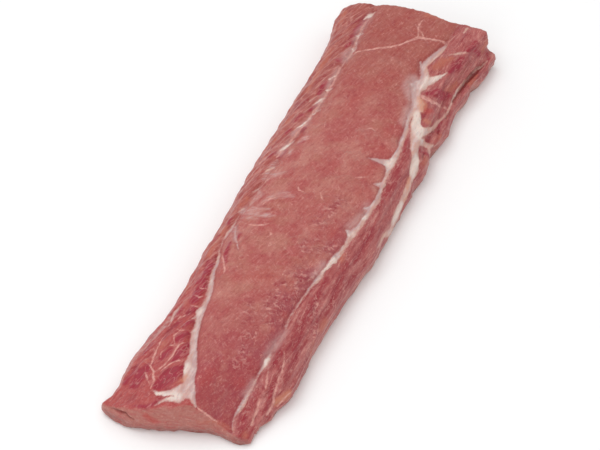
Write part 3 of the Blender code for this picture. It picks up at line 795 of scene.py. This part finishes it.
# Lean: clouds of redder and browner rose, deeper crimson towards the near end, plum by the right seam
lean = tint(ROSE, RED_ROSE, step(cloud(laid(20, 24, 40), 4.0, 0.6), 0.34, 0.62))
lean = tint(lean, BROWN_ROSE, step(cloud(laid(50, 14, 22, 0.7), 3.0, 0.6), 0.48, 0.64), 0.6)
lean = tint(lean, CRIMSON, read("rich"), step(cloud(laid(20, 18, 26, 0.1), 3.0, 0.6), 0.20, 0.55))
lean = tint(lean, FIELD_RED, read("red"), 0.55)
lean = tint(lean, PLUM, read("plum"), step(cloud(laid(10, 14, 22, 0.4), 3.0, 0.6), 0.36, 0.62), 0.75)
lean = tint(lean, STRIP_RED, read("strip"))
lean = tint(lean, STRIP_CRIMSON, read("near_strip"))
lean = tint(lean, DUSK_ROSE, read("dusk"), 0.6)
lean = tint(lean, STRAP_RED, read("strap"))
lean = tint(lean, CUT_PINK, read("cut"))

# The strip's fingers: long cells with dark cores and paler gaps; its near lip is plain
strip = both(read("strip"), work("SUBTRACT", 1.0, read("lip")))
far_strip = both(strip, work("SUBTRACT", 1.0, read("near_strip")))
finger_place = bent(laid(STRIP_TURN, 6.0, 48), 26, 0.4)
finger_gap = cells(finger_place)
finger_tone = cells(finger_place, "F1")
lean = tint(lean, DARK_RED, strip, step(finger_gap, 0.04, 0.32), step(finger_tone, 0.30, 0.80), 0.75)
patchy = step(cloud(laid(STRIP_TURN, 4, 14, 0.5), 2.0), 0.38, 0.60)
lean = tint(lean, PALE_PINK, far_strip, step(finger_gap, 0.07, 0.0), patchy, 0.45)
strip_fibre = cloud(bent(laid(STRIP_TURN, 1.9, 26, 0.2), 16, 0.6), 2.0, 0.5)
strip_lines = ridges(cloud(bent(laid(STRIP_TURN, 4.2, 34, 0.8), 16, 0.6), 1.0), 0.045)
lean = tint(lean, DARK_RED, strip, step(strip_fibre, 0.50, 0.70), 0.45)
lean = tint(lean, PALE_PINK, strip, step(strip_fibre, 0.46, 0.26), 0.28)
lean = tint(lean, PALE_PINK, far_strip, strip_lines, patchy, 0.4)

# The strap's long fibres
strap = read("strap")
strap_fibre = cloud(bent(laid(2, 2.4, 22, 0.3), 10, 0.9), 4.0, 0.62)
strap_lines = ridges(cloud(bent(laid(2, 3.0, 20, 0.8), 7, 0.9), 2.0), 0.035)
strap_broad = cloud(bent(laid(0, 7, 44, 0.1), 16, 0.6), 3.0, 0.55)
lean = tint(lean, DARK_RED, strap, step(strap_broad, 0.50, 0.64), 0.55)
lean = tint(lean, PALE_PINK, strap, step(strap_broad, 0.44, 0.30), 0.35)
lean = tint(lean, STRAP_PURPLE, read("strap_dark"), 0.7)
lean = tint(lean, DARK_RED, strap, step(strap_fibre, 0.48, 0.66), 0.60)
lean = tint(lean, PALE_PINK, strap, step(strap_fibre, 0.44, 0.27), 0.55)
lean = tint(lean, PALE_PINK, strap, strap_lines, step(cloud(laid(0, 7, 12, 0.9)), 0.42, 0.60), 0.50)

# The eye's fine fibres; its skin is wrinkled in patches, across the loin, and torn in short ticks
eye = read("eye")
eye_fibre = cloud(bent(laid(14, 1.8, 7, 0.6), 6, 0.9), 3.0, 0.65)
cross_fibre = cloud(bent(laid(-58, 2.0, 8, 0.9), 7, 0.9), 3.0, 0.6)
wrinkle = cloud(bent(laid(68, 2.9, 8.5, 0.35), 6, 1.1), 1.5)
crinkled = both(read("crinkled"), step(cloud(laid(20, 7, 9, 0.15), 2.0), 0.34, 0.56))
sparse = both(eye, step(cloud(laid(20, 10, 14, 0.45), 2.0), 0.56, 0.70))
tick = ridges(cloud(bent(laid(-22, 4.4, 11, 0.75), 7, 0.8), 1.0), 0.05)
tick = both(tick, step(cloud(laid(-22, 5, 6, 0.25), 1.0), 0.50, 0.62))
lean = tint(lean, DARK_RED, eye, step(eye_fibre, 0.52, 0.74), 0.50)
lean = tint(lean, PALE_PINK, step(eye_fibre, 0.46, 0.26), 0.40)
lean = tint(lean, PALE_PINK, eye, step(cross_fibre, 0.57, 0.76), 0.38)
lean = tint(lean, PLUM, crinkled, 0.35)
lean = tint(lean, DARK_RED, crinkled, step(wrinkle, 0.53, 0.66), 0.55)
lean = tint(lean, PALE_PINK, crinkled, step(wrinkle, 0.46, 0.34), 0.62)
lean = tint(lean, PALE_PINK, tick, work("MAXIMUM", crinkled, sparse), 0.6)

# The cut's broken grain runs across the loin; low down, near the floor, it is greyer with painted shade
cut = read("cut")
cut_grain = cloud(bent(laid(85, 2.2, 16, 0.15), 9, 0.8), 3.0, 0.6)
lean = tint(lean, CUT_LOW_SHADE, cut, step(read("height"), 16.0, 4.0), 0.7)
lean = tint(lean, RED_ROSE, cut, step(cut_grain, 0.50, 0.64), 0.65)
lean = tint(lean, SKIN_MILK, cut, step(cut_grain, 0.45, 0.28), 0.45)
lean = tint(lean, CUT_RED, read("red_cut"), 0.7)

# Tan patches where the meat has dried
lean = tint(lean, RUST, read("tan"), step(cloud(laid(20, 5, 12, 0.7), 3.0, 0.6), 0.28, 0.52), 0.85)

# Mottling all over
mottle = cloud(laid(0, 3.4, 4.6, 0.2), 3.0, 0.7)
crumb = cloud(laid(0, 1.4, 1.4, 0.4), 2.0, 0.6)
lean = tint(lean, DARK_RED, step(mottle, 0.52, 0.78), 0.42)
lean = tint(lean, PALE_PINK, step(mottle, 0.46, 0.22), 0.36)
lean = tint(lean, PALE_PINK, step(crumb, 0.58, 0.80), 0.34)
lean = tint(lean, DARK_RED, step(crumb, 0.42, 0.22), 0.30)

# The pods' dark cores, their edges frayed along the fibres, and the painted shade under the lip of the near
# cut
fray = work("MULTIPLY", work("SUBTRACT", cloud(laid(25, 1.8, 4.5), 4.0, 0.65), 0.5), 3.6)
core_and_shade = step(work("ADD", read("dark_gap"), fray), 2.2, -1.6)
lean = tint(lean, tint(POD_RED, DARK_RED, step(strip_fibre, 0.48, 0.36)), core_and_shade, 0.92)
lean = tint(lean, PALE_PINK, core_and_shade, strip_lines, 0.35)
# Painted shade in the crevices under the strap's edge and under the lip of the near cut
lean = tint(lean, CREVICE_SHADE, step(work("ADD", read("crevice_gap"), fray), 1.6, -1.6), 0.92)

# Silverskin: a milky film in streaks
streak = cloud(bent(laid(62, 2.4, 16), 10, 0.8), 3.0, 0.6)
film = both(read("silverskin"), work("MULTIPLY_ADD", step(streak, 0.40, 0.58), 0.6, 0.4))
skin = tint(lean, SKIN_MILK, film, 0.85)
skin = tint(skin, FAT_GREY, film, step(streak, 0.52, 0.66), 0.65)
veil = both(read("haze"), step(cloud(bent(laid(14, 2.2, 13, 0.5), 7, 0.8), 3.0), 0.30, 0.60))
skin = tint(skin, HAZE_PINK, read("haze"), 0.5)
skin = tint(skin, HAZE_PINK, veil, 0.65)

# The resting side is the trimmed back: pink, its fibres along the loin, with a little fat left on it
under = read("under")
back_fibre = cloud(bent(laid(6, 2.6, 26, 0.4), 10, 0.9), 4.0, 0.62)
back_patch = step(cloud(laid(10, 14, 50, 0.3), 3.0), 0.46, 0.62)
skin = tint(skin, UNDER_PINK, under, step(cloud(laid(8, 22, 70), 3.0), 0.36, 0.60))
skin = tint(skin, DARK_RED, under, step(back_fibre, 0.52, 0.72), 0.4)
skin = tint(skin, FAT_PEACH, under, back_patch, step(back_fibre, 0.48, 0.34), 0.8)
skin = tint(skin, PALE_PINK, under, ridges(cloud(bent(laid(8, 6, 60, 0.8), 14, 0.8), 1.0), 0.03), 0.6)

# Threads, and the painted highlights on the near cut's edges, come and go along their length
skin = tint(skin, ORANGE_FAT, read("peach"), 0.45)
faint = step(cloud(laid(0, 5, 5, 0.25), 2.0), 0.32, 0.58)
thread_and_highlight_edge = work("ADD", read("thread_and_highlight_gap"), work("MULTIPLY", fray, 0.8))
thread_and_highlight = both(step(thread_and_highlight_edge, 0.8, -0.6), work("MULTIPLY_ADD", faint, 0.6, 0.4))
skin = tint(skin, PALE_PINK, thread_and_highlight)

# Fat: a glassy rim, then grey towards the eye and peach on the other side, and white in the middle
fat_edge = work("ADD", read("fat_gap"), fray)
# Painted shade: a narrow darker band on the eye's side of the fat, where the eye stands proud of the seam;
# none under the haze
skin = tint(skin, DARK_RED, eye, step(fat_edge, 3.6, 1.0), work("SUBTRACT", 1.0, read("haze")), 0.25)
skin = tint(skin, SKIN_MILK, step(fat_edge, 1.0, -0.5), 0.65)
glassy = step(cloud(bent(laid(0, 4, 13), 9, 0.8), 3.0), 0.34, 0.56)
glassy = both(glassy, work("SUBTRACT", 1.0, read("cream")))
fat = both(step(fat_edge, 0.6, -1.1), work("MULTIPLY_ADD", glassy, -0.25, 1.0))
fat_colour = tint(FAT_PEACH, FAT_GREY, work("MAXIMUM", eye, both(read("near_strip"), 0.5)))
solid_white = work("MULTIPLY_ADD", glassy, -0.75, 1.0)
fat_colour = tint(fat_colour, FAT_WHITE, step(fat_edge, -0.2, -2.0), solid_white)
fat_colour = tint(fat_colour, FAT_CREAM, read("cream"), 0.8)
fat_colour = tint(fat_colour, ORANGE_FAT, read("peach"), 0.75)
fat_streak = cloud(bent(laid(0, 1.8, 9, 0.4), 8, 0.8), 3.0)
fat_colour = tint(fat_colour, FAT_GREY, step(fat_streak, 0.52, 0.70), 0.42)
fat_colour = tint(fat_colour, FAT_PEACH, step(fat_streak, 0.46, 0.30), 0.42)
skin = tint(skin, fat_colour, fat)

# The moist skin's small relief
relief = both(work("ADD", strip_fibre, finger_gap), strip, 0.6)
relief = work("ADD", relief, both(work("SUBTRACT", strap_fibre, strap_lines), strap, 0.4))
relief = work("ADD", relief, both(work("ADD", eye_fibre, mottle), 0.45))
relief = work("ADD", relief, both(work("SUBTRACT", 1.0, wrinkle), crinkled, 1.2))
relief = work("ADD", relief, both(cut_grain, cut, 0.4))
relief = work("ADD", relief, both(crumb, 0.3))
bump = nodes.new("ShaderNodeBump")
bump.inputs["Strength"].default_value = BUMP_STRENGTH
bump.inputs["Distance"].default_value = BUMP_HEIGHT * MM
plug(relief, bump.inputs["Height"])

wet = nodes.new("ShaderNodeBsdfPrincipled")
plug(skin, wet.inputs["Base Color"])
plug(bump.outputs["Normal"], wet.inputs["Normal"])
plug(step(work("ADD", fat, film), -1.4, 2.4, "LINEAR"), wet.inputs["Roughness"])
wet.inputs["Subsurface Weight"].default_value = SEEN_INTO
wet.inputs["Subsurface Radius"].default_value = RED_GOES_DEEPEST
wet.inputs["Subsurface Scale"].default_value = SEEN_DEPTH * MM
wet.inputs["Specular IOR Level"].default_value = WET_GLOSS
output = nodes.new("ShaderNodeOutputMaterial")
links.new(wet.outputs[0], output.inputs["Surface"])

loin.data.materials.clear()
loin.data.materials.append(meat)
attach(loin, "root")
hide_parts("pork_loin")


# ---- The floor, the light and the camera ----
# A plain white sheet of card, lit softly by a wide lamp above, a weaker one in front, and the room.
# The camera looks down on the loin from beyond its near end, a little from the right.

FLOOR_SIDE = 8.0
CARD_WHITE = (0.93, 0.93, 0.93, 1.0)
ROOM_LIGHT = 0.82
bpy.ops.mesh.primitive_plane_add(size=FLOOR_SIDE, location=(0, 0, 0))
card = bpy.context.active_object
card.name = "card"
card_paint = bpy.data.materials.new("white_card")
card_paint.use_nodes = True
card_shader = card_paint.node_tree.nodes["Principled BSDF"]
card_shader.inputs["Base Color"].default_value = CARD_WHITE
card_shader.inputs["Roughness"].default_value = 0.9
card_shader.inputs["Specular IOR Level"].default_value = 0.1
card.data.materials.append(card_paint)

room = bpy.data.worlds.new("room")
room.use_nodes = True
room_light = room.node_tree.nodes["Background"]
room_light.inputs["Color"].default_value = (1.0, 1.0, 1.0, 1.0)
room_light.inputs["Strength"].default_value = ROOM_LIGHT
bpy.context.scene.world = room


def hang_lamp(name, place, size, watts):
    """A square soft lamp at a place, turned to the loin."""
    lamp = bpy.data.lights.new(name, "AREA")
    lamp.size = size
    lamp.energy = watts
    holder = bpy.data.objects.new(name, lamp)
    holder.location = place
    holder.rotation_euler = (-Vector(place)).to_track_quat("-Z", "Y").to_euler()
    bpy.context.collection.objects.link(holder)


hang_lamp("overhead", (-0.9, -0.1, 2.4), 1.8, 20)
hang_lamp("front", (0.3, -2.4, 1.5), 1.2, 10)

AZIMUTH = math.radians(23)
ELEVATION = math.radians(46)
DISTANCE = 3.0
SENSOR_WIDTH = 36
FOCAL_LENGTH = 189
AIM = Vector((-0.00459, -0.01278, 0.02))
back = Vector((
    math.sin(AZIMUTH) * math.cos(ELEVATION),
    -math.cos(AZIMUTH) * math.cos(ELEVATION),
    math.sin(ELEVATION),
))
lens = bpy.data.cameras.new("camera")
lens.sensor_width = SENSOR_WIDTH
lens.lens = FOCAL_LENGTH
camera = bpy.data.objects.new("camera", lens)
camera.location = AIM + back * DISTANCE
camera.rotation_euler = (-back).to_track_quat("-Z", "Y").to_euler()
bpy.context.collection.objects.link(camera)
bpy.context.scene.camera = camera
bpy.context.scene.view_settings.view_transform = "Standard"
